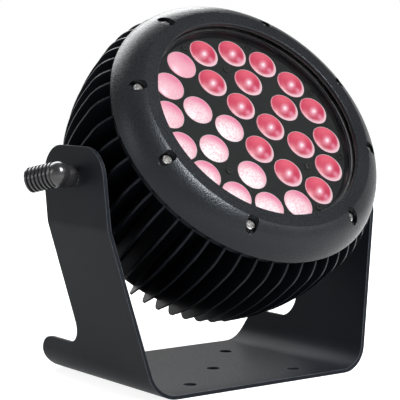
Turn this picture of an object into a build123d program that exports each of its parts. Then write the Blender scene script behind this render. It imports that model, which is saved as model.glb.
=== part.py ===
"""Par can light: a round LED wash light held by two clamping levers in a bent steel yoke.

Millimetres, +Z up. The origin is the centre of the clamp hole in the yoke's base, on its underside.
X runs along the tilt axis, -Y is the side that the beam leaves from, and the yoke stands on Z = 0.

The head is drawn in its own frame, with its z axis along the beam, its x axis along the tilt axis and
its origin where the two cross. HEAD puts it in place, with the beam raised by BEAM_RISE degrees.
"""
import os
from math import atan2, cos, degrees, radians, sin

from build123d import *

# ---- driving dimensions: yoke ----
SHEET = 3.0                 # thickness of the bent sheet
BASE_HALF = 105.0           # half width of the base at its underside, before the bend
UPRIGHT_X = 134.5           # outer face of an arm where it stands upright
ARM_TOP_Z = 193.0
ARM_BEND_Z = 131.0          # height where the splayed arm turns upright
BASE_BEND_R = 25.5          # outer radii of the two bends
ARM_BEND_R = 18.0
PLATE_FRONT_Y, PLATE_REAR_Y = -68.25, 94.8
ARM_REAR_Y = 21.8           # where the arm's rear edge would meet the floor
FRONT_LEAN, REAR_LEAN = 0.153, 0.14
FOOT_Z = 31.0               # top of the flange behind the arm
ARM_CORNER_R, FOOT_CORNER_R, NOTCH_R = 26.0, 21.0, 17.0
BASE_HOLE_R = 5.5
CORNER_HOLES_X, CORNER_HOLES_Y = 106.0, 93.0
CORNER_HOLES_CENTRE_Y = 6.3
STUD_R = 4.0                # M8 pivot stud
ARM_HOLE_R = 4.5
BEYOND = 300.0              # longer than anything it cuts

# ---- driving dimensions: head ----
PIVOT_Z = 169.6
BEAM_RISE = 36.1
PLATE_Z, PLATE_T = 61.1, 1.5    # front face and thickness of the black mask plate
DRUM_R, CHAMBER_R, CUP_R = 96.0, 90.0, 88.6
DRUM_REAR_Z = -64.0
WEB_Z, WEB_T = 36.0, 8.0    # front face and thickness of the wall that carries the lamp board
FLANGE_Z, FLANGE_R = 53.8, 118.0
CUP_RIM_Z = 68.3
RIM_R, RIM_Z = 90.7, 77.2   # bezel's opening and front face
RING_R = 102.0              # outer edge of the bezel's flat front ring
BEZEL_R, BEZEL_REAR_Z = 121.4, 54.8
FIN_T, FIN_R = 1.6, 128.3
SIDE_PITCH = 8.8            # degrees between the five fins beside each pivot boss
SIDE_FINS, ARC_FINS = 5, 21
BOSS_X, BOSS_HALF_V, BOSS_HALF_N = 130.0, 12.0, 18.5
INSERT_X, INSERT_R = 108.0, 6.0
SCREW_CIRCLE_R = 105.0
POCKET_Z, POCKET_R = 67.0, 4.7
POCKET_END_R = 108.5
COVER_T = 4.0
COVER_IN_Z = DRUM_REAR_Z - 1.0
COVER_OUT_Z = COVER_IN_Z - COVER_T

# lens rings: number of lenses, radius of their circle, angle of the first one
LENS_RINGS = {
    "outer": (16, 74.0, 11.25),
    "middle": (8, 47.3, 22.5),
    "inner": (4, 20.65, 0.0),
}
APERTURE_R = 13.2
BOARD_Z, BOARD_T = WEB_Z + 0.5, 1.6
LENS_FOOT_R, LENS_FOOT_Z = 6.5, 41.5
LENS_FLANGE_R, FLANGE_LOW, FLANGE_HIGH = 13.7, 57.8, 59.5
LENS_RIM_R, DOME_LOW, DOME_HIGH = 12.9, 60.6, 63.2

# rear panel, in the head's x and v (up across the beam)
DISPLAY_V = 46.0
BUTTON_V, BUTTON_X = 22.0, (-27.0, -9.0, 9.0, 27.0)
SOCKETS = {
    "dmx_input": (-22.0, -9.0),
    "dmx_output": (22.0, -9.0),
    "power_inlet": (-22.0, -47.0),
    "power_outlet": (22.0, -47.0),
}
BUTTON_R, BUTTON_HOLE_R = 5.6, 6.0

HEAD = Location((0, 0, PIVOT_Z), (90 - BEAM_RISE, 0, 0))


def rod(radius, low, high, x=0.0, y=0.0):
    """Cylinder along z from low to high."""
    return Pos(x, y, (low + high) / 2) * Cylinder(radius, high - low)


def block(x_range, y_range, z_range):
    """Box from three (low, high) pairs."""
    size = [high - low for low, high in (x_range, y_range, z_range)]
    centre = [(high + low) / 2 for low, high in (x_range, y_range, z_range)]
    return Pos(*centre) * Box(*size)


def polar(count, radius, first=0.0):
    """Points (x, y) spaced evenly round a circle."""
    angles = [radians(first + 360 * i / count) for i in range(count)]
    return [(radius * cos(a), radius * sin(a)) for a in angles]


def turned(*points):
    """Solid of revolution about z from (radius, z) corners."""
    outline = make_face(Polyline(*[(r, 0, z) for r, z in points], close=True))
    return revolve(outline, Axis.Z)


def dome(radius, low, high):
    """Arc of a ball from its rim at (radius, low) to its top on the axis at (0, high)."""
    rise = high - low
    ball = (radius ** 2 + rise ** 2) / (2 * rise)
    middle = (radius / 2, high - ball + (ball ** 2 - radius ** 2 / 4) ** 0.5)
    return ThreePointArc((radius, low), middle, (0, high))


def ring(inner, outer, low, high):
    return turned((inner, low), (outer, low), (outer, high), (inner, high))


def group(solids):
    return Compound(children=list(solids))


# ---- yoke ----

def yoke():
    above = ARM_TOP_Z + 50
    corners = [(-UPRIGHT_X, above), (-UPRIGHT_X, ARM_BEND_Z), (-BASE_HALF, 0),
               (BASE_HALF, 0), (UPRIGHT_X, ARM_BEND_Z), (UPRIGHT_X, above)]
    radii = [ARM_BEND_R, BASE_BEND_R, BASE_BEND_R, ARM_BEND_R]
    with BuildSketch(Plane.XZ) as section:
        with BuildLine():
            bent = FilletPolyline(*corners, radius=radii)
            Line(bent @ 1, bent @ 0)
        make_face()
        offset(amount=-SHEET, mode=Mode.SUBTRACT)
    bent_sheet = extrude(section.sketch, amount=BEYOND, both=True)

    top_front = PLATE_FRONT_Y + FRONT_LEAN * ARM_TOP_Z
    top_rear = ARM_REAR_Y + REAR_LEAN * ARM_TOP_Z
    notch_y = ARM_REAR_Y + REAR_LEAN * FOOT_Z
    side = [(PLATE_FRONT_Y, 0), (top_front, ARM_TOP_Z), (top_rear, ARM_TOP_Z), (notch_y, FOOT_Z),
            (PLATE_REAR_Y, FOOT_Z), (PLATE_REAR_Y, 0)]
    with BuildSketch(Plane.YZ) as outline:
        with BuildLine():
            edge = FilletPolyline(*side, radius=[ARM_CORNER_R, ARM_CORNER_R, NOTCH_R, FOOT_CORNER_R])
            Line(edge @ 1, edge @ 0)
        make_face()
    sheet = bent_sheet & extrude(outline.sketch, amount=BEYOND, both=True)

    holes = [(0, 0)]
    for x in (-CORNER_HOLES_X / 2, CORNER_HOLES_X / 2):
        for y in (-CORNER_HOLES_Y / 2, CORNER_HOLES_Y / 2):
            holes.append((x, y + CORNER_HOLES_CENTRE_Y))
    for x, y in holes:
        sheet -= rod(BASE_HOLE_R, -1, SHEET + 1, x, y)
    pivot_hole = Pos(0, 0, PIVOT_Z) * Rot(0, 90, 0) * Cylinder(ARM_HOLE_R, BEYOND)
    return (sheet - pivot_hole).solid()


# ---- levers, drawn on the +X side; the other one is its mirror image ----
GRIP_START = Vector(149.5, -1.4, 172.1)
GRIP_WAY = Vector(0.445, 0.865, -0.23).normalized()
GRIP_PLANE = Plane(origin=GRIP_START, z_dir=GRIP_WAY)
GRIP_LENGTH, RIB_PITCH, RIB_COUNT = 26.0, 3.5, 7
RIB_R, GROOVE_R, GRIP_CORE_R = 10.0, 8.5, 5.0
WASHER_X, WASHER_T, WASHER_R = UPRIGHT_X + 0.1, 1.6, 8.0
HUB_X = WASHER_X + WASHER_T
HUB_R, HUB_LENGTH, KNOB_R = 8.5, 17.0, 9.6
STUD_X = (110.0, HUB_X + 12)


def along_x(radius, low, high):
    return Pos((low + high) / 2, 0, PIVOT_Z) * Rot(0, 90, 0) * Cylinder(radius, high - low)


def lever_hub():
    hub = along_x(HUB_R, HUB_X, HUB_X + HUB_LENGTH)
    hub = fillet(hub.edges().group_by(Axis.X)[-1], 3)
    hub += Pos(*GRIP_START) * Sphere(KNOB_R)
    core = GRIP_PLANE * rod(GRIP_CORE_R, 0, GRIP_LENGTH)
    return (hub + core - along_x(STUD_R, *STUD_X)).solid()


def lever_grip():
    """Ribbed sleeve, closed by a shallow dome at its far end."""
    with BuildSketch(Plane.XZ) as section:
        with BuildLine():
            points = [(GRIP_CORE_R, 1.5), (GROOVE_R, 1.5)]
            for i in range(RIB_COUNT):
                low = 2.0 + i * RIB_PITCH
                points += [(GROOVE_R, low), (RIB_R, low + 0.6), (RIB_R, low + 1.9), (GROOVE_R, low + 2.5)]
            top = points[-1][1]
            Polyline(*points)
            dome(GROOVE_R, top, top + 3.6)
            Polyline((0, top + 3.6), (0, GRIP_LENGTH), (GRIP_CORE_R, GRIP_LENGTH), points[0])
        make_face()
    sleeve = GRIP_PLANE * revolve(section.sketch, Axis.Z) - lever_hub()
    return sleeve.solids().sort_by(SortBy.VOLUME)[-1]


def lever_stud():
    return along_x(STUD_R, *STUD_X)


def lever_washer():
    return along_x(WASHER_R, WASHER_X, HUB_X) - along_x(STUD_R, *STUD_X)


# ---- head: casting ----

def fin():
    """One cooling fin in the plane through the beam axis, at angle 0."""
    inner_r = DRUM_R - 2
    with BuildSketch(Plane.XZ) as section:
        with BuildLine():
            front = Line((inner_r, FLANGE_Z), (BEZEL_R - 0.4, FLANGE_Z))
            shoulder = ThreePointArc(front @ 1, (126.6, 42.5), (FIN_R, 28))
            flank = ThreePointArc(shoulder @ 1, (125.6, -12), (112, -57))
            corner = ThreePointArc(flank @ 1, (108.6, -63.2), (103, -66))
            Polyline(corner @ 1, (DRUM_R + 0.5, -66), (DRUM_R + 0.5, DRUM_REAR_Z), (inner_r, DRUM_REAR_Z),
                     front @ 0)
        make_face()
    return extrude(section.sketch, amount=FIN_T / 2, both=True)


def fin_angles():
    """Five fins fan out beside each boss, and the arcs between them are filled evenly."""
    half_side = SIDE_PITCH * (SIDE_FINS - 1) / 2
    side = [SIDE_PITCH * i - half_side for i in range(SIDE_FINS)]
    pitch = (180 - 2 * half_side) / (ARC_FINS + 1)
    arc = [half_side + pitch * (i + 1) for i in range(ARC_FINS)]
    return [angle + turn for turn in (0, 180) for angle in side + arc]


def heatsink():
    """Finned die casting: front cup, wall for the lamp board, rear chamber, bosses and fins."""
    body = turned(
        (0, WEB_Z), (CUP_R, WEB_Z), (CUP_R, CUP_RIM_Z), (94.8, CUP_RIM_Z), (94.8, FLANGE_Z),
        (FLANGE_R, FLANGE_Z), (FLANGE_R, FLANGE_Z - 5), (DRUM_R, FLANGE_Z - 5),
        (DRUM_R, DRUM_REAR_Z), (CHAMBER_R, DRUM_REAR_Z), (CHAMBER_R, WEB_Z - WEB_T), (0, WEB_Z - WEB_T))
    blade = fin()
    fins = [Rot(0, 0, angle) * blade for angle in fin_angles()]
    bosses = [block(sorted((side * (CHAMBER_R + 1), side * BOSS_X)), (-BOSS_HALF_V, BOSS_HALF_V),
                    (-BOSS_HALF_N, BOSS_HALF_N)) for side in (-1, 1)]
    bosses = [fillet(boss.edges().filter_by(Axis.X), 3) for boss in bosses]
    rear_posts = [rod(5.0, DRUM_REAR_Z, DRUM_REAR_Z + 22, x, y) for x, y in REAR_SCREWS]
    front_posts = [rod(4.6, FLANGE_Z - 14, FLANGE_Z - 1, x, y) for x, y in BEZEL_SCREWS]
    body = body + fins + bosses + rear_posts + front_posts
    cuts = [rod(2.5, FLANGE_Z - 13, FLANGE_Z + 1, x, y) for x, y in BEZEL_SCREWS]
    cuts += [rod(2.0, DRUM_REAR_Z - 1, DRUM_REAR_Z + 14, x, y) for x, y in REAR_SCREWS]
    cuts += [Rot(0, turn, 0) * rod(INSERT_R, INSERT_X, BOSS_X + 1) for turn in (90, -90)]
    cuts += [rod(1.6, WEB_Z - 5, WEB_Z + 1, x, y) for x, y in POSTS]
    cuts.append(rod(CABLE_R + 1, WEB_Z - 9, WEB_Z + 1, *LED_CABLE))
    return (body - cuts).solid()


def pivot_insert():
    """Steel thread insert in the +X boss; the stud turns in it with running clearance."""
    return Rot(0, 90, 0) * (rod(INSERT_R, INSERT_X, BOSS_X) - rod(STUD_R + 0.05, 0, BEYOND))


def friction_disc():
    return Rot(0, 90, 0) * ring(INSERT_R + 0.2, 11.5, BOSS_X, BOSS_X + 1.4)


# ---- head: front ----
BEZEL_SCREWS = [(SCREW_CIRCLE_R * cos(radians(a)), SCREW_CIRCLE_R * sin(radians(a)))
                for a in (18, 62, 118, 162, 198, 242, 298, 342)]
REAR_SCREWS = polar(8, 86.0, 22.5)
POSTS = polar(8, 84.0, 22.5) + [(56 * cos(radians(a)), 56 * sin(radians(a))) for a in (90, 225, 315)]
POST_R = 2.6
GLASS_R, GLASS_LOW, GLASS_HIGH = 95.0, 69.3, 73.3
GASKET_TOP = GLASS_HIGH + 1.0
GROOVE_INNER_R = 97.0


def front_bezel():
    with BuildSketch(Plane.XZ) as section:
        with BuildLine():
            front = Polyline((RIM_R, GASKET_TOP), (RIM_R, RIM_Z - 0.8), (RIM_R + 0.8, RIM_Z),
                             (RING_R, RIM_Z))
            shoulder = ThreePointArc(front @ 1, (112.9, 70.2), (BEZEL_R, BEZEL_REAR_Z + 1.2))
            Polyline(shoulder @ 1, (BEZEL_R - 0.8, BEZEL_REAR_Z), (GROOVE_INNER_R, BEZEL_REAR_Z),
                     (GROOVE_INNER_R, GASKET_TOP), front @ 0)
        make_face()
    bezel = revolve(section.sketch, Axis.Z)
    bezel -= ring(110.5, 115.5, BEZEL_REAR_Z - 1, BEZEL_REAR_Z + 6)
    for x, y in BEZEL_SCREWS:
        pocket = rod(POCKET_R, POCKET_Z, RIM_Z + 1, SCREW_CIRCLE_R)
        pocket += rod(POCKET_R, POCKET_Z, RIM_Z + 1, POCKET_END_R)
        pocket += block((SCREW_CIRCLE_R, POCKET_END_R), (-POCKET_R, POCKET_R), (POCKET_Z, RIM_Z + 1))
        pocket += rod(2.75, BEZEL_REAR_Z - 1, POCKET_Z + 1, SCREW_CIRCLE_R)
        bezel -= Rot(0, 0, degrees(atan2(y, x))) * pocket
    return bezel.solid()


def socket_screw(shank_r, head_r, head_h, length, key_r):
    """Cap screw pointing down, with its head resting on z = 0."""
    head = rod(head_r, 0, head_h)
    head = chamfer(head.edges().group_by(Axis.Z)[-1], head_h * 0.12)
    hexagon = extrude(RegularPolygon(key_r, 6), amount=head_h)
    return head + rod(shank_r, -length, 0) - Pos(0, 0, head_h * 0.45) * hexagon


def bezel_screws():
    screw = socket_screw(2.45, 4.1, 4.2, 24, 2.3)
    return group(Pos(x, y, POCKET_Z) * screw for x, y in BEZEL_SCREWS)


def front_glass():
    return rod(GLASS_R, GLASS_LOW, GLASS_HIGH)


def glass_gasket():
    """U-section rubber ring round the rim of the glass."""
    inner, outer, lip = GLASS_R - 5.4, GLASS_R + 1.4, GLASS_R - 4
    return turned((inner, CUP_RIM_Z), (outer, CUP_RIM_Z), (outer, GASKET_TOP), (lip, GASKET_TOP),
                  (lip, GLASS_HIGH), (GLASS_R, GLASS_HIGH), (GLASS_R, GLASS_LOW), (inner, GLASS_LOW))


def body_gasket():
    return ring(97.2, 100.8, FLANGE_Z, BEZEL_REAR_Z)


def lens_places(name):
    count, radius, first = LENS_RINGS[name]
    return polar(count, radius, first)


def lens():
    """Collimator lens standing on its emitter: cone, clamping flange and shallow front dome."""
    with BuildSketch(Plane.XZ) as section:
        with BuildLine():
            Polyline((0, LENS_FOOT_Z), (LENS_FOOT_R, LENS_FOOT_Z), (LENS_FLANGE_R, FLANGE_LOW),
                     (LENS_FLANGE_R, FLANGE_HIGH), (LENS_RIM_R, FLANGE_HIGH), (LENS_RIM_R, DOME_LOW))
            dome(LENS_RIM_R, DOME_LOW, DOME_HIGH)
            Line((0, DOME_HIGH), (0, LENS_FOOT_Z))
        make_face()
    return revolve(section.sketch, Axis.Z)


def lenses(name):
    piece = lens()
    return group(Pos(x, y, 0) * piece for x, y in lens_places(name))


def all_lens_places():
    return [place for name in LENS_RINGS for place in lens_places(name)]


def lens_plate():
    low, high = PLATE_Z - PLATE_T, PLATE_Z
    plate = rod(CUP_R - 0.3, low, high)
    plate -= [rod(APERTURE_R, low, high, x, y) for x, y in all_lens_places()]
    return (plate - [rod(1.7, low, high, x, y) for x, y in POSTS]).solid()


def lens_plate_screws():
    screw = socket_screw(1.45, 2.7, 1.5, 5.5, 1.3)
    return group(Pos(x, y, PLATE_Z) * screw for x, y in POSTS)


def plate_posts():
    """Threaded spacers between the lamp board's wall and the mask plate."""
    post = rod(POST_R, WEB_Z, PLATE_Z - PLATE_T) + rod(1.5, WEB_Z - 4, WEB_Z)
    post -= rod(1.5, PLATE_Z - 8, PLATE_Z)
    return group(Pos(x, y, 0) * post for x, y in POSTS)


def lens_holders():
    """Black cups that centre each lens over its emitter."""
    low, high = BOARD_Z + BOARD_T, 54.0
    cup = Pos(0, 0, (low + high) / 2) * Cone(10.0, 13.2, high - low)
    light_path = turned((0, low - 1), (6.8, low - 1), (6.8, LENS_FOOT_Z), (LENS_FOOT_R, LENS_FOOT_Z),
                        (LENS_FLANGE_R, FLANGE_LOW), (0, FLANGE_LOW))
    return group(Pos(x, y, 0) * (cup - light_path) for x, y in all_lens_places())


def lamp_board():
    board = rod(82.0, BOARD_Z, BOARD_Z + BOARD_T)
    board -= [rod(POST_R + 0.6, WEB_Z, PLATE_Z, x, y) for x, y in POSTS]
    return (board - rod(CABLE_R + 0.5, WEB_Z, PLATE_Z, *LED_CABLE)).solid()


def thermal_pad():
    pad = rod(80.5, WEB_Z, BOARD_Z)
    pad -= [rod(POST_R + 0.8, WEB_Z, PLATE_Z, x, y) for x, y in POSTS]
    return (pad - rod(CABLE_R + 1, WEB_Z, PLATE_Z, *LED_CABLE)).solid()


def emitters():
    """Four-colour emitters: a square package with a low round dome."""
    top = BOARD_Z + BOARD_T
    package = block((-3.5, 3.5), (-3.5, 3.5), (top, top + 1.2)) + rod(2.6, top + 1.2, top + 2.2)
    return group(Pos(x, y, 0) * package for x, y in all_lens_places())


# ---- head: electronics in the rear chamber ----
CABLE_R = 2.5
LED_CABLE = (0.0, 0.0)
DRIVER_Z = -22.0
DRIVER_POSTS = [(x, y) for x in (-58, 58) for y in (-2, 46)]
PANEL_BOARD_Z = -56.0
PANEL_POSTS = [(x, y) for x in (-44, 44) for y in (12, 60)]


def power_supply():
    """Sealed mains converter, screwed to the back of the lamp board's wall."""
    case = block((-50, 50), (-62, -14), (-14, WEB_Z - WEB_T))
    case = fillet(case.edges().filter_by(Axis.Z), 3)
    return case


def power_supply_screws():
    lugs = [(x, y) for x in (-56, 56) for y in (-54, -22)]
    z = WEB_Z - WEB_T
    foot = block((-6, 6), (-5, 5), (z - 3, z))
    feet = [Pos(x, y, 0) * (foot + rod(3, z - 5.5, z - 3)) for x, y in lugs]
    return group(feet)


def driver_board():
    top = DRIVER_Z + 1.6
    board = block((-64, 64), (-8, 52), (DRIVER_Z, top))
    parts = [block((x, x + 12), (8, 20), (top, top + 7)) for x in (-50, -30, 18, 38)]
    parts += [rod(6.0, top, top + 16, x, 36) for x in (-48, -30, 30, 48)]
    parts.append(block((-14, 14), (24, 44), (top, top + 3)))
    board += parts
    return (board - [rod(1.6, -30, -15, x, y) for x, y in DRIVER_POSTS]).solid()


def driver_posts():
    """Spacers that hang the driver board from the wall, each with its screw."""
    spacer = rod(3.0, DRIVER_Z + 1.6, WEB_Z - WEB_T) + rod(1.5, DRIVER_Z, DRIVER_Z + 1.6)
    spacer += rod(2.8, DRIVER_Z - 2, DRIVER_Z)
    return group(Pos(x, y, 0) * spacer for x, y in DRIVER_POSTS)


def lamp_cable():
    """Flat bundle from the driver board through the wall to the lamp board."""
    return rod(CABLE_R, DRIVER_Z + 1.6, BOARD_Z + BOARD_T, *LED_CABLE)


def cable_grommet():
    z = WEB_Z - WEB_T
    sleeve = ring(CABLE_R, CABLE_R + 1, z, WEB_Z)
    return sleeve + ring(CABLE_R, CABLE_R + 3, z - 1.5, z)


def mains_cable():
    """Sheathed lead from the power inlet to the mains converter."""
    x, v = SOCKETS["power_inlet"]
    route = FilletPolyline((x, v, -46), (x, v, -38), (x, v + 14, -24), (x, v + 14, -14), radius=10)
    return sweep(Plane(origin=route @ 0, z_dir=route % 0) * Circle(CABLE_R), path=route)


# ---- head: rear panel ----

def rear_cover():
    cover = rod(95.5, COVER_OUT_Z, COVER_IN_Z)
    cover = chamfer(cover.edges().group_by(Axis.Z)[0], 1.2)
    through = (COVER_OUT_Z - 1, COVER_IN_Z + 5)
    rib = ring(83.0, 86.0, COVER_IN_Z, COVER_IN_Z + 3)
    cover += rib - [rod(5.5, *through, x, y) for x, y in REAR_SCREWS]
    cuts = [rod(2.2, *through, x, y) for x, y in REAR_SCREWS]
    cuts += [rod(BUTTON_HOLE_R, *through, x, BUTTON_V) for x in BUTTON_X]
    cuts += [rod(SOCKET_HOLE_R, *through, x, v) for x, v in SOCKETS.values()]
    cuts += [rod(1.6, *through, x, v) for x, v in socket_screw_places()]
    cuts.append(block((-20, 20), (DISPLAY_V - 10, DISPLAY_V + 10), through))
    cuts.append(rod(VENT_R, *through, *VENT))
    cuts += [rod(RIVET_R, *through, x, y) for x, y in RIVETS]
    return (cover - cuts).solid()


VENT, VENT_R = (-62.0, 6.0), 6.0
SOCKET_HOLE_R = 12.0
EYE_PLACE = (62.0, 6.0)
EYE_HOLE_R, EYE_T = 6.0, 3.0
EYE_HOLE_Z = COVER_OUT_Z - 14.0
RIVET_R = 1.6
RIVETS = [(EYE_PLACE[0] + 4.4, EYE_PLACE[1] + dy) for dy in (-8, 8)]


def rear_gasket():
    return ring(91.0, 95.0, COVER_IN_Z, DRUM_REAR_Z)


def rear_screws():
    screw = Rot(180, 0, 0) * socket_screw(1.95, 3.5, 3.0, 15, 2.0)
    return group(Pos(x, y, COVER_OUT_Z) * screw for x, y in REAR_SCREWS)


def display_window():
    """Clear stepped window, sealed in the cover from inside."""
    pane = block((-19.7, 19.7), (DISPLAY_V - 9.7, DISPLAY_V + 9.7), (COVER_OUT_Z + 0.5, COVER_IN_Z))
    return pane + block((-24, 24), (DISPLAY_V - 13, DISPLAY_V + 13), (COVER_IN_Z, COVER_IN_Z + 1.5))


def display_module():
    return block((-19, 19), (DISPLAY_V - 10, DISPLAY_V + 10), (-63, PANEL_BOARD_Z))


def panel_board():
    board = block((-50, 50), (8, 64), (PANEL_BOARD_Z, PANEL_BOARD_Z + 1.6))
    return (board - [rod(1.6, -60, -50, x, y) for x, y in PANEL_POSTS]).solid()


def panel_posts():
    spacer = rod(3.0, COVER_IN_Z, PANEL_BOARD_Z) + rod(1.5, PANEL_BOARD_Z, PANEL_BOARD_Z + 1.6)
    spacer += rod(2.8, PANEL_BOARD_Z + 1.6, PANEL_BOARD_Z + 3.6)
    return group(Pos(x, y, 0) * spacer for x, y in PANEL_POSTS)


def key_switches():
    """Tactile switches under the four buttons; each plunger stops 1 mm short of its button."""
    switch = block((-3, 3), (-3, 3), (-59.5, PANEL_BOARD_Z)) + rod(1.7, -59.9, -59.5)
    return group(Pos(x, BUTTON_V, 0) * switch for x in BUTTON_X)


def button(x):
    cap = rod(BUTTON_R, COVER_OUT_Z - 1.8, COVER_IN_Z + 0.1)
    cap = fillet(cap.edges().group_by(Axis.Z)[0], 0.9)
    cap += rod(BUTTON_R + 1.6, COVER_IN_Z + 0.1, COVER_IN_Z + 1.6)
    cap += rod(2.0, COVER_IN_Z + 1.6, -60.9)
    return Pos(x, BUTTON_V, 0) * cap


def socket_screw_places():
    return [(x + dx, v + dv) for x, v in SOCKETS.values() for dx, dv in ((-9.5, 12), (9.5, -12))]


def socket(name):
    """Panel socket: flange, barrel and the insulator inside its recess."""
    flange = block((-13, 13), (-15.5, 15.5), (COVER_OUT_Z - 2.2, COVER_OUT_Z))
    flange = fillet(flange.edges().filter_by(Axis.Z), 3)
    front = COVER_OUT_Z - 2.2
    shell = flange + rod(11.8, COVER_OUT_Z, -46)
    shell -= rod(9.6, front - 1, front + 16)
    if name != "dmx_input":
        shell += rod(6.4, front + 0.6, front + 17)
        shell -= [rod(1.5, front, front + 9, px, py) for px, py in polar(3, 3.6, 90)]
    shell -= [rod(1.6, front - 1, COVER_OUT_Z + 1, dx, dv) for dx, dv in ((-9.5, 12), (9.5, -12))]
    x, v = SOCKETS[name]
    return (Pos(x, v, 0) * shell).solid()


def socket_contacts():
    """Three pins standing in the data input, and three sleeves in each other socket."""
    front = COVER_OUT_Z - 2.2
    pieces = []
    for name, (x, v) in SOCKETS.items():
        for px, py in polar(3, 3.6, 90):
            if name == "dmx_input":
                pieces.append(rod(1.2, front + 8, front + 16, x + px, v + py))
            else:
                pieces.append(ring(0.9, 1.5, front + 1.5, front + 9).moved(Pos(x + px, v + py, 0)))
    return group(pieces)


def socket_screws():
    screw = Rot(180, 0, 0) * socket_screw(1.45, 2.6, 1.7, 8, 1.2)
    return group(Pos(x, v, COVER_OUT_Z - 2.2) * screw for x, v in socket_screw_places())


def pressure_vent():
    """Breathing plug that keeps the sealed housing free of condensation."""
    plug = rod(9.0, COVER_OUT_Z - 4.5, COVER_OUT_Z) + rod(VENT_R - 0.1, COVER_OUT_Z, COVER_IN_Z + 3)
    slots = [Rot(0, 0, 60 * i) * block((7.6, 10), (-1.6, 1.6), (-72.6, -70.4)) for i in range(6)]
    return Pos(*VENT, 0) * (plug - slots)


def safety_eye():
    """Angle plate for the safety wire: a foot on the cover and an upright tab with a hole."""
    foot = block((-7, 7), (-13, 13), (COVER_OUT_Z - EYE_T, COVER_OUT_Z))
    tab = block((-EYE_T / 2, EYE_T / 2), (-11, 11), (EYE_HOLE_Z, COVER_OUT_Z))
    tab += Pos(0, 0, EYE_HOLE_Z) * Rot(0, 90, 0) * Cylinder(11, EYE_T)
    tab -= Pos(0, 0, EYE_HOLE_Z) * Rot(0, 90, 0) * Cylinder(EYE_HOLE_R, 20)
    eye = Pos(*EYE_PLACE, 0) * (foot + tab)
    return eye - [rod(RIVET_R, EYE_HOLE_Z, COVER_IN_Z, x, y) for x, y in RIVETS]


def safety_eye_rivets():
    """Each rivet: a low head on the foot, a shank through the cover and a set tail inside."""
    foot_z = COVER_OUT_Z - EYE_T
    rivet = rod(2.4, foot_z - 1.2, foot_z) + rod(RIVET_R, foot_z, COVER_IN_Z)
    rivet += rod(2.6, COVER_IN_Z, COVER_IN_Z + 1.4)
    return group(Pos(x, y, 0) * rivet for x, y in RIVETS)


def nodes():
    """Every node by name, as (shape, True where it belongs to the tilting head)."""
    made = {"yoke": (yoke(), False)}
    lever = {"hub": lever_hub(), "grip": lever_grip(), "stud": lever_stud(), "washer": lever_washer()}
    for piece, shape in lever.items():
        made[f"lever_{piece}_right"] = (shape, False)
        made[f"lever_{piece}_left"] = (mirror(shape, Plane.YZ), False)
    for name, shape in (("pivot_insert", pivot_insert()), ("friction_disc", friction_disc())):
        made[f"{name}_right"] = (shape, True)
        made[f"{name}_left"] = (mirror(shape, Plane.YZ), True)
    for name in LENS_RINGS:
        made[f"lenses_{name}"] = (lenses(name), True)
    for name in SOCKETS:
        made[name] = (socket(name), True)
    for number, x in enumerate(BUTTON_X, 1):
        made[f"button_{number}"] = (button(x), True)
    plain = [heatsink, front_bezel, front_glass, glass_gasket, body_gasket, bezel_screws, lens_plate,
             lens_plate_screws, plate_posts, lens_holders, lamp_board, thermal_pad, emitters,
             power_supply, power_supply_screws, driver_board, driver_posts, lamp_cable, cable_grommet,
             mains_cable, rear_cover, rear_gasket, rear_screws, display_window, display_module,
             panel_board, panel_posts, key_switches, socket_contacts, socket_screws, pressure_vent,
             safety_eye, safety_eye_rivets]
    for make in plain:
        made[make.__name__] = (make(), True)
    return made


if __name__ == "__main__":
    os.makedirs("parts", exist_ok=True)
    for name, (shape, tilts) in nodes().items():
        export_step(HEAD * shape if tilts else shape, f"parts/{name}.step")
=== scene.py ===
"""Looks of the par can light: materials, glass, lamp optics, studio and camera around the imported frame."""
import math

import bmesh
import bpy
from mathutils import Matrix, Vector


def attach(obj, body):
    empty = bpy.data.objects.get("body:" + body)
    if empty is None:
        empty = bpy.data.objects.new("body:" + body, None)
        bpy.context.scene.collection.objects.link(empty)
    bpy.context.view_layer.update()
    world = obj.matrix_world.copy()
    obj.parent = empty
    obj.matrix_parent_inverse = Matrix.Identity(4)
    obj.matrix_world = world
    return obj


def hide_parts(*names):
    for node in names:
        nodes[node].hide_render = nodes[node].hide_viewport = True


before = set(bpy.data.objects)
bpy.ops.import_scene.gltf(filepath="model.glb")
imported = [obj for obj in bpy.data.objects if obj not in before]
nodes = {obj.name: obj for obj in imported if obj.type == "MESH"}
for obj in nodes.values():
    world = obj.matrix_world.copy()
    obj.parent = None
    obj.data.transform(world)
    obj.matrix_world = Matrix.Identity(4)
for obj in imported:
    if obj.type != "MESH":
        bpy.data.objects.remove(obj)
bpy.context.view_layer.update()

MM = 0.001

# ---- the head's own frame: x along the tilt axis, z along the beam ----
PIVOT = Vector((0, 0, 0.1696))
BEAM_RISE = math.radians(36.1)
HEAD = Matrix.Translation(PIVOT) @ Matrix.Rotation(math.radians(90) - BEAM_RISE, 4, "X")


# ---- coats: how bent an edge is where its painted highlight begins and is full, brighter specks, bluish mirror tints ----
EDGE_HIGHLIGHT_FROM, EDGE_HIGHLIGHT_FULL = 0.02, 0.12
SPECK_LIFT = 3
COOL_SHEEN, CASTING_SHEEN = (0.86, 0.93, 1.0), (0.8, 0.9, 1.0)


# ---- shader helpers ----

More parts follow.
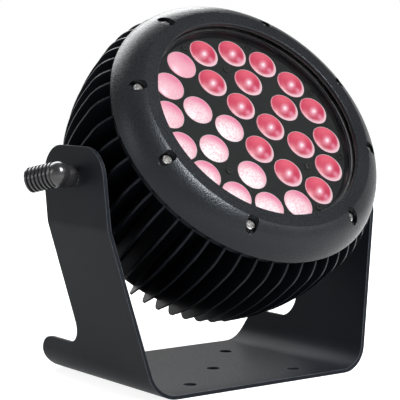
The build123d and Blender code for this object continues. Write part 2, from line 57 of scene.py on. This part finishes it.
class Paint:
    """A procedural material with short calls for its nodes."""

    def __init__(self, name):
        self.material = bpy.data.materials.new(name)
        self.material.use_nodes = True
        self.tree = self.material.node_tree
        self.tree.nodes.clear()
        self.out = self.add("ShaderNodeOutputMaterial")
        self.shader = self.add("ShaderNodeBsdfPrincipled")
        self.link(self.shader.outputs[0], self.out.inputs["Surface"])
        self.place = self.add("ShaderNodeTexCoord").outputs["Object"]

    def add(self, kind, **values):
        node = self.tree.nodes.new(kind)
        for key, value in values.items():
            setattr(node, key, value)
        return node

    def link(self, source, target):
        self.tree.links.new(source, target)

    def set(self, **values):
        for key, value in values.items():
            self.shader.inputs[key.replace("_", " ")].default_value = value
        return self

    def noise(self, scale, detail=2.0, rough=0.5):
        node = self.add("ShaderNodeTexNoise")
        node.inputs["Scale"].default_value = scale
        node.inputs["Detail"].default_value = detail
        node.inputs["Roughness"].default_value = rough
        self.link(self.place, node.inputs["Vector"])
        return node.outputs["Fac"]

    def ramp(self, source, *stops):
        node = self.add("ShaderNodeValToRGB")
        for element, (place, value) in zip(node.color_ramp.elements, (stops[0], stops[-1])):
            element.position, element.color = place, rgba(value)
        for place, colour in stops[1:-1]:
            node.color_ramp.elements.new(place).color = rgba(colour)
        self.link(source, node.inputs["Fac"])
        return node.outputs["Color"]

    def mix(self, low, high, amount):
        node = self.add("ShaderNodeMix", data_type="RGBA")
        for source, socket in ((amount, node.inputs[0]), (low, node.inputs[6]), (high, node.inputs[7])):
            if isinstance(source, bpy.types.NodeSocket):
                self.link(source, socket)
            elif socket.type == "RGBA":
                socket.default_value = rgba(source)
            else:
                socket.default_value = source
        return node.outputs[2]

    def math(self, operation, first, second=0.0):
        node = self.add("ShaderNodeMath", operation=operation)
        for source, socket in ((first, node.inputs[0]), (second, node.inputs[1])):
            if isinstance(source, bpy.types.NodeSocket):
                self.link(source, socket)
            else:
                socket.default_value = source
        return node.outputs[0]

    def colour(self, source):
        self.link(source, self.shader.inputs["Base Color"])
        return self

    def rough(self, source):
        self.link(source, self.shader.inputs["Roughness"])
        return self

    def bump(self, source, strength, distance, rounding=0.0):
        """Relief from a height; rounding softens the sharp edges by that radius in metres."""
        node = self.add("ShaderNodeBump")
        node.inputs["Strength"].default_value = strength
        node.inputs["Distance"].default_value = distance
        self.link(source, node.inputs["Height"])
        if rounding:
            bevel = self.add("ShaderNodeBevel", samples=4)
            bevel.inputs["Radius"].default_value = rounding
            self.link(bevel.outputs[0], node.inputs["Normal"])
        self.link(node.outputs[0], self.shader.inputs["Normal"])
        return self


def rgba(value):
    """RGBA from one level, or from three channels."""
    channels = (value,) * 3 if isinstance(value, (int, float)) else tuple(value)
    return channels + (1.0,) * (4 - len(channels))


def painted_edge_highlight(paint, base, edge_highlight_colour, radius):
    """Paints a highlight on convex edges: a lighter colour where the surface bends."""
    bevel = paint.add("ShaderNodeBevel", samples=6)
    bevel.inputs["Radius"].default_value = radius
    flat = paint.add("ShaderNodeNewGeometry").outputs["Normal"]
    dot = paint.add("ShaderNodeVectorMath", operation="DOT_PRODUCT")
    paint.link(bevel.outputs[0], dot.inputs[0])
    paint.link(flat, dot.inputs[1])
    bend = paint.math("SUBTRACT", 1.0, dot.outputs["Value"])
    mask = paint.ramp(bend, (EDGE_HIGHLIGHT_FROM, 0.0), (EDGE_HIGHLIGHT_FULL, 1.0))
    return paint.mix(base, edge_highlight_colour, mask)


def powder_coat(name, dark, light, gloss, relief=0.12 * MM, roughness=(0.36, 0.5), scale=900.0,
                rounding=0.6 * MM, edge_highlight_colour=None):
    """Baked powder coat: fine orange peel, slight tone mottling, sparse brighter specks, and a painted
    highlight on edges when a colour for it is given.
    """
    paint = Paint(name)
    fine = paint.noise(scale, 3.0, 0.6)
    broad = paint.noise(14.0, 3.0, 0.55)
    base = paint.mix(dark, light, paint.ramp(broad, (0.3, 0.0), (0.7, 1.0)))
    speck = paint.ramp(fine, (0.6, 0.0), (0.76, 0.4))
    coat = paint.mix(base, [c * SPECK_LIFT for c in light], speck)
    # painted highlight: convex edges lighter, when a highlight colour is given
    paint.colour(painted_edge_highlight(paint, coat, edge_highlight_colour, 0.4 * MM) if edge_highlight_colour else coat)
    paint.rough(paint.ramp(fine, (0.3, roughness[0]), (0.7, roughness[1])))
    paint.bump(fine, 0.55, relief, rounding)
    return paint.set(Specular_IOR_Level=gloss, Specular_Tint=rgba(COOL_SHEEN)).material


def assign(material, *names):
    for name in names:
        for slot in nodes[name].material_slots:
            slot.material = material


def plain(name, colour, roughness, metallic=0.0, grain=300.0, depth=0.05 * MM, spread=0.15, **extra):
    """Moulded, rubbed or machined surface with a fine grain in tone, gloss and relief."""
    paint = Paint(name)
    fine = paint.noise(grain, 3.0, 0.6)
    paint.colour(paint.mix([c * (1 - spread) for c in colour], [c * (1 + spread) for c in colour], fine))
    paint.rough(paint.ramp(fine, (0.3, max(roughness - 0.06, 0.02)), (0.7, min(roughness + 0.06, 1.0))))
    paint.bump(fine, 0.4, depth)
    return paint.set(Metallic=metallic, **extra).material


# ---- materials of the CAD nodes ----

def casting_coat():
    """Satin black on die-cast fins: soft mottling, a painted highlight along the thin edges."""
    paint = Paint("casting_coat")
    fine = paint.noise(700.0, 3.0, 0.6)
    broad = paint.noise(9.0, 2.0, 0.5)
    base = paint.mix((0.0018, 0.0021, 0.0032), (0.0036, 0.0041, 0.006), broad)
    # painted highlight on the fin edges
    paint.colour(painted_edge_highlight(paint, base, (0.045, 0.047, 0.053), 0.25 * MM))
    paint.rough(paint.ramp(fine, (0.3, 0.30), (0.7, 0.42)))
    paint.bump(fine, 0.35, 0.08 * MM, 0.3 * MM)
    return paint.set(Specular_IOR_Level=0.07, Specular_Tint=rgba(CASTING_SHEEN)).material


def pane(name, tint, ior=1.45, smear=0.02):
    """Clear pane: passes light straight through and mirrors by Fresnel."""
    paint = Paint(name)
    paint.tree.nodes.remove(paint.shader)
    clear = paint.add("ShaderNodeBsdfTransparent")
    clear.inputs["Color"].default_value = rgba(tint)
    gloss = paint.add("ShaderNodeBsdfGlossy")
    gloss.inputs["Roughness"].default_value = smear
    fresnel = paint.add("ShaderNodeFresnel")
    fresnel.inputs["IOR"].default_value = ior
    both = paint.add("ShaderNodeMixShader")
    paint.link(fresnel.outputs[0], both.inputs[0])
    paint.link(clear.outputs[0], both.inputs[1])
    paint.link(gloss.outputs[0], both.inputs[2])
    paint.link(both.outputs[0], paint.out.inputs["Surface"])
    return paint.material


def paint_cad_nodes():
    # the yoke coat gets a painted highlight along its convex edges
    assign(powder_coat("yoke_coat", (0.0035, 0.0042, 0.0055), (0.005, 0.006, 0.008), 0.045,
                       edge_highlight_colour=(0.10, 0.105, 0.115)), "yoke")
    assign(powder_coat("bezel_coat", (0.004, 0.0044, 0.0052), (0.006, 0.0065, 0.0075), 0.17,
                       relief=0.35 * MM, roughness=(0.22, 0.36), scale=800.0), "front_bezel")
    assign(powder_coat("cover_coat", (0.007, 0.0072, 0.0075), (0.010, 0.0103, 0.011), 0.3), "rear_cover")
    assign(casting_coat(), "heatsink")
    assign(pane("front_glass", (0.985, 0.99, 0.988), 1.18), "front_glass")
    assign(pane("display_window", (0.35, 0.38, 0.37)), "display_window")
    assign(plain("mask_black", (0.004, 0.0046, 0.0048), 0.42, grain=500.0, Specular_IOR_Level=0.07),
           "lens_plate")
    steel = plain("stainless", (0.62, 0.61, 0.6), 0.24, 1.0, grain=900.0, spread=0.1)
    assign(steel, "bezel_screws", "rear_screws", "socket_screws",
           "lever_washer_left", "lever_washer_right", "safety_eye_rivets")
    assign(plain("black_steel", (0.09, 0.09, 0.092), 0.22, 1.0, grain=900.0), "lens_plate_screws")
    zinc = plain("zinc_steel", (0.5, 0.5, 0.49), 0.34, 1.0, grain=400.0)
    assign(zinc, "lever_stud_left", "lever_stud_right", "pivot_insert_left", "pivot_insert_right",
           "plate_posts", "driver_posts", "panel_posts", "power_supply_screws", "safety_eye")
    rubber = plain("seal_rubber", (0.012, 0.012, 0.012), 0.62, grain=700.0)
    assign(rubber, "glass_gasket", "body_gasket", "rear_gasket", "cable_grommet",
           "friction_disc_left", "friction_disc_right")
    glossy = plain("lever_plastic", (0.010, 0.010, 0.011), 0.22, grain=260.0, depth=0.03 * MM)
    assign(glossy, "lever_hub_left", "lever_hub_right", "lever_grip_left", "lever_grip_right")
    assign(plain("holder_plastic", (0.008, 0.008, 0.008), 0.5), "lens_holders")
    assign(plain("circuit_board", (0.01, 0.05, 0.025), 0.4), "lamp_board", "driver_board", "panel_board")
    assign(plain("thermal_pad", (0.4, 0.4, 0.42), 0.8), "thermal_pad")
    assign(plain("emitter", (0.75, 0.68, 0.42), 0.3), "emitters")
    assign(plain("power_case", (0.45, 0.45, 0.46), 0.4, 1.0), "power_supply")
    assign(plain("cable_sheath", (0.012, 0.012, 0.012), 0.55), "lamp_cable", "mains_cable")
    assign(plain("display_body", (0.02, 0.03, 0.028), 0.35), "display_module")
    assign(plain("switch_plastic", (0.03, 0.03, 0.03), 0.45), "key_switches")
    assign(plain("button_rubber", (0.05, 0.05, 0.052), 0.55, grain=900.0),
           "button_1", "button_2", "button_3", "button_4")
    assign(plain("socket_plastic", (0.012, 0.012, 0.0125), 0.42), "dmx_input", "dmx_output")
    assign(plain("power_socket_plastic", (0.03, 0.033, 0.04), 0.42), "power_inlet", "power_outlet")
    assign(plain("contact_metal", (0.75, 0.68, 0.45), 0.25, 1.0), "socket_contacts")
    assign(plain("vent_plastic", (0.02, 0.02, 0.02), 0.45), "pressure_vent")


# ---- lenses: finer domes than the CAD ones, glowing with painted light ----
LENS_RINGS = {"outer": (16, 74.0, 11.25), "middle": (8, 47.3, 22.5), "inner": (4, 20.65, 0.0)}
LENS_FLANGE_R, LENS_RIM_R = 13.7, 12.9
LENS_FOOT_R, LENS_FOOT_Z = 6.5, 41.5
FLANGE_LOW, FLANGE_HIGH, DOME_LOW, DOME_HIGH = 57.8, 59.5, 60.6, 63.2
LENS_TURNS, DOME_STEPS = 56, 10
WANDER = 0.16                            # how far grain breaks up a spot's edge, as a share of the lens
# where the painted glow over each emitter sits on its lens, and its turn in degrees
HOT_SPOT, HOT_TURN = (-0.06, -0.075), 42.0
PALE_SIDE = Vector((-0.943, -0.332))     # way across the array towards the lenses painted paler, a painted reflection of the studio light
WHITEST = Vector((-20.0, -35.0))         # where in the array the painted white reflection on the pale lenses is strongest, in millimetres
WHITE_REACH, WHITE_FALL = 105.0, 70.0    # how far from there the white ends, and over what distance it fades
PALE_FROM, PALE_FULL = 7.5, 10.5         # how far that way, in millimetres, the change begins and ends


def lens_profile():
    """(radius, z) from the top of the dome down the outside to the foot, in millimetres."""
    rise = DOME_HIGH - DOME_LOW
    ball = (LENS_RIM_R ** 2 + rise ** 2) / (2 * rise)
    dome = []
    for step in range(1, DOME_STEPS + 1):
        r = LENS_RIM_R * step / DOME_STEPS
        dome.append((r, DOME_HIGH - ball + math.sqrt(ball ** 2 - r ** 2)))
    return dome + [(LENS_RIM_R, FLANGE_HIGH), (LENS_FLANGE_R, FLANGE_HIGH), (LENS_FLANGE_R, FLANGE_LOW),
                   (LENS_FOOT_R, LENS_FOOT_Z)]


def add_lens(mesh, across, mixed, cx, cy):
    """One closed lens.

    UV map across runs from -1 to 1 over the dome; the second UV map holds how strongly the lens is painted
    pale and painted white, a painted reflection of the studio light.
    """
    # painted reflection: how pale and how white this lens is painted, from where it sits in the array
    reach = Vector((cx, cy)).dot(PALE_SIDE)
    painted_paleness = min(max((reach - PALE_FROM) / (PALE_FULL - PALE_FROM), 0.0), 1.0)
    painted_whiteness = min(max((WHITE_REACH - (Vector((cx, cy)) - WHITEST).length) / WHITE_FALL, 0.0), 1.0)

    def corner(r, angle, z):
        x, y = r * math.cos(angle), r * math.sin(angle)
        place = HEAD @ Vector(((cx + x) * MM, (cy + y) * MM, z * MM))
        return mesh.verts.new(place), (x / LENS_RIM_R, y / LENS_RIM_R)

    turns = [2 * math.pi * i / LENS_TURNS for i in range(LENS_TURNS)]
    rings = [[corner(r, angle, z) for angle in turns] for r, z in lens_profile()]
    top, foot = corner(0, 0, DOME_HIGH), corner(0, 0, LENS_FOOT_Z)

    def face(*corners):
        made = mesh.faces.new([vert for vert, _ in corners])
        made.smooth = True
        for loop, (_, place) in zip(made.loops, corners):
            loop[across].uv = place
            loop[mixed].uv = (painted_paleness, painted_whiteness)

    for i in range(LENS_TURNS):
        j = (i + 1) % LENS_TURNS
        face(top, rings[0][i], rings[0][j])
        for high, low in zip(rings, rings[1:]):
            face(high[i], low[i], low[j], high[j])
        face(rings[-1][i], foot, rings[-1][j])


def spot(paint, place, centre, size, turn=0.0, edge=0.0):
    """Soft spot: 1 at its centre, falling to 0 at its edge; an ellipse when its two sizes differ."""
    shift = paint.add("ShaderNodeMapping", vector_type="TEXTURE")
    shift.inputs["Location"].default_value = (*centre, 0.0)
    shift.inputs["Rotation"].default_value = (0.0, 0.0, math.radians(turn))
    shift.inputs["Scale"].default_value = (*size, 1.0)
    paint.link(place, shift.inputs["Vector"])
    length = paint.add("ShaderNodeVectorMath", operation="LENGTH")
    paint.link(shift.outputs[0], length.inputs[0])
    fall = paint.add("ShaderNodeMapRange", interpolation_type="SMOOTHERSTEP")
    fall.inputs["From Min"].default_value = 1.0
    fall.inputs["From Max"].default_value = edge
    paint.link(length.outputs["Value"], fall.inputs["Value"])
    return fall.outputs[0]


def lens_look():
    """Pink optic glowing with painted light: a painted white glow over the emitter, rose field with painted
    highlights and shade, a painted highlight on the lower rim, pebbled skin.
    """
    paint = Paint("lens_optic")
    across = paint.add("ShaderNodeUVMap", uv_map="across").outputs["UV"]
    mixed = paint.add("ShaderNodeSeparateXYZ")
    paint.link(paint.add("ShaderNodeUVMap", uv_map="mixed").outputs["UV"], mixed.inputs[0])
    painted_paleness, painted_whiteness = mixed.outputs[0], mixed.outputs[1]
    pebble = paint.noise(600.0, 2.0, 0.5)
    grain = paint.add("ShaderNodeTexNoise")
    grain.inputs["Scale"].default_value = 900.0
    paint.link(paint.place, grain.inputs["Vector"])
    wander = paint.add("ShaderNodeVectorMath", operation="MULTIPLY_ADD")
    wander.inputs[1].default_value = (WANDER, WANDER, 0.0)
    paint.link(grain.outputs["Color"], wander.inputs[0])
    paint.link(across, wander.inputs[2])
    place = wander.outputs[0]
    # the deep rose lenses: painted lighter towards the top, a painted pink spot lower right, painted shade
    # lower left; the wander shifts every spot by half of WANDER on each axis
    rose = paint.mix((0.60, 0.045, 0.105), (0.80, 0.125, 0.19), spot(paint, place, (0.25, 0.7), (1.3, 1.0)))
    rose = paint.mix(rose, (0.80, 0.24, 0.36), spot(paint, place, (0.31, -0.5), (0.38, 0.34)))
    rose = paint.mix(rose, (0.50, 0.035, 0.085), spot(paint, place, (-0.45, -0.5), (0.5, 0.45)))
    # painted highlights: a pale rim, broadest low down, and a pinker rim on the left
    bright_rim = paint.math("SUBTRACT", 1.0, spot(paint, place, (0.02, 0.22), (1.07, 1.13), 0.0, 0.72))
    rose = paint.mix(rose, (0.95, 0.62, 0.70), bright_rim)
    left_rim = paint.math("SUBTRACT", 1.0, spot(paint, place, (0.2, 0.06), (1.14, 1.2), 0.0, 0.86))
    rose = paint.mix(rose, (0.90, 0.42, 0.50), left_rim)
    # painted glow of the emitter: a pink halo round a near-white core
    rose = paint.mix(rose, (0.90, 0.38, 0.50), spot(paint, place, HOT_SPOT, (0.62, 0.44), HOT_TURN))
    rose = paint.mix(rose, (1.0, 0.84, 0.89), spot(paint, place, HOT_SPOT, (0.27, 0.2), HOT_TURN))
    # the paler lenses, a painted reflection of the studio light: white to lower left, pink to upper right
    pale = paint.mix((0.90, 0.42, 0.52), (0.84, 0.22, 0.38), spot(paint, place, (0.65, 0.65), (1.4, 1.3)))
    white = paint.math("MULTIPLY", painted_whiteness, spot(paint, place, (-0.5, -0.5), (1.8, 1.6), 0.0, 0.3))
    pale = paint.mix(pale, (1.0, 0.94, 0.96), white)
    pale = paint.mix(pale, (0.90, 0.36, 0.50), paint.ramp(pebble, (0.45, 0.0), (0.62, 0.6)))
    field = paint.mix(rose, pale, painted_paleness)
    # bright sliver where the far side of the rim catches the light
    inside = spot(paint, across, (-0.045, -0.035), (1.0, 1.0), 0.0, 0.985)
    field = paint.mix((0.62, 0.60, 0.60), field, paint.math("GREATER_THAN", inside, 0.02))
    # the lens glows with this painted light: a faint share of it as base colour, all of it as emission
    paint.colour(paint.mix((0, 0, 0), field, 0.06))
    paint.link(field, paint.shader.inputs["Emission Color"])
    paint.bump(pebble, 0.2, 0.2 * MM)
    return paint.set(Roughness=0.35, Specular_IOR_Level=0.12, Emission_Strength=0.88).material


def build_lenses():
    look = lens_look()
    for name, (count, radius, first) in LENS_RINGS.items():
        mesh = bmesh.new()
        across, mixed = mesh.loops.layers.uv.new("across"), mesh.loops.layers.uv.new("mixed")
        for i in range(count):
            a = math.radians(first + 360 * i / count)
            add_lens(mesh, across, mixed, radius * math.cos(a), radius * math.sin(a))
        bmesh.ops.recalc_face_normals(mesh, faces=mesh.faces)
        data = bpy.data.meshes.new(f"lens_ring_{name}")
        mesh.to_mesh(data)
        mesh.free()
        data.materials.append(look)
        piece = bpy.data.objects.new(f"lens_ring_{name}", data)
        bpy.context.collection.objects.link(piece)
        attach(piece, "head")
        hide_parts(f"lenses_{name}")


# ---- studio ----
CAMERA_PLACE = (-0.752, -1.0076, 0.2599)
CAMERA_RIGHT, CAMERA_BACK = Vector((0.8067, -0.5911, 0.0)), Vector((-0.5885, -0.8032, 0.0920))
SENSOR_WIDTH, FOCAL_LENGTH = 36.0, 137.7
FLOOR_HALF, FLOOR_DROP = 6.0, 0.2 * MM
HORIZON_TOP, DIM_FROM, DIM_SKY = 0.2, 0.5, 0.25


def camera():
    data = bpy.data.cameras.new("camera")
    data.sensor_width = SENSOR_WIDTH
    data.lens = FOCAL_LENGTH
    data.clip_start, data.clip_end = 0.05, 20
    view = bpy.data.objects.new("camera", data)
    right, back = CAMERA_RIGHT.normalized(), CAMERA_BACK.normalized()
    up = back.cross(right)
    turn = Matrix((right, up, back)).transposed().to_4x4()
    view.matrix_world = Matrix.Translation(CAMERA_PLACE) @ turn
    bpy.context.collection.objects.link(view)
    bpy.context.scene.camera = view


def floor():
    """Glowing white sweep under the yoke."""
    data = bpy.data.meshes.new("floor")
    corners = [(x * FLOOR_HALF, y * FLOOR_HALF, 0) for x, y in ((-1, -1), (1, -1), (1, 1), (-1, 1))]
    data.from_pydata(corners, [], [(0, 1, 2, 3)])
    plane = bpy.data.objects.new("floor", data)
    bpy.context.collection.objects.link(plane)
    plane.location.z = -FLOOR_DROP
    paint = Paint("floor_white")
    tone = paint.noise(0.6, 2.0)
    paint.colour(paint.mix((0.38, 0.38, 0.38), (0.42, 0.42, 0.42), tone))
    paint.set(Roughness=0.8, Specular_IOR_Level=0.0, Emission_Color=rgba(1.0), Emission_Strength=0.85)
    data.materials.append(paint.material)


def soft_light(name, place, aim, size, watts):
    data = bpy.data.lights.new(name, "AREA")
    data.shape = "RECTANGLE"
    data.size, data.size_y = size
    data.energy = watts
    lamp = bpy.data.objects.new(name, data)
    lamp.location = place
    lamp.rotation_euler = (Vector(aim) - Vector(place)).to_track_quat("-Z", "Y").to_euler()
    bpy.context.collection.objects.link(lamp)


def sky():
    """White down to the horizon and dim overhead, like a white sweep in a dark room."""
    world = bpy.data.worlds.new("studio")
    world.use_nodes = True
    tree = world.node_tree
    way = tree.nodes.new("ShaderNodeTexCoord").outputs["Generated"]
    height = tree.nodes.new("ShaderNodeSeparateXYZ")
    tree.links.new(way, height.inputs[0])
    ramp = tree.nodes.new("ShaderNodeValToRGB")
    for element, place, level in zip(ramp.color_ramp.elements, (HORIZON_TOP, DIM_FROM), (1.0, DIM_SKY)):
        element.position, element.color = place, rgba(level)
    tree.links.new(height.outputs["Z"], ramp.inputs["Fac"])
    tree.links.new(ramp.outputs["Color"], tree.nodes["Background"].inputs["Color"])
    tree.nodes["Background"].inputs["Strength"].default_value = 1.0
    bpy.context.scene.world = world


def studio():
    sky()
    middle = (0, 0, 0.17)
    soft_light("top_rear", (0.3, 1.35, 1.35), middle, (1.7, 1.0), 36)
    soft_light("front_high", (0.12, -1.48, 1.51), middle, (0.3, 0.9), 125)
    soft_light("side_left", (-1.9, 0.2, 0.9), middle, (0.5, 1.0), 7)
    soft_light("front_right", (1.2, -1.6, 0.9), middle, (0.7, 0.7), 8)
    bpy.context.scene.view_settings.view_transform = "Standard"


camera()
floor()
studio()
paint_cad_nodes()
build_lenses()
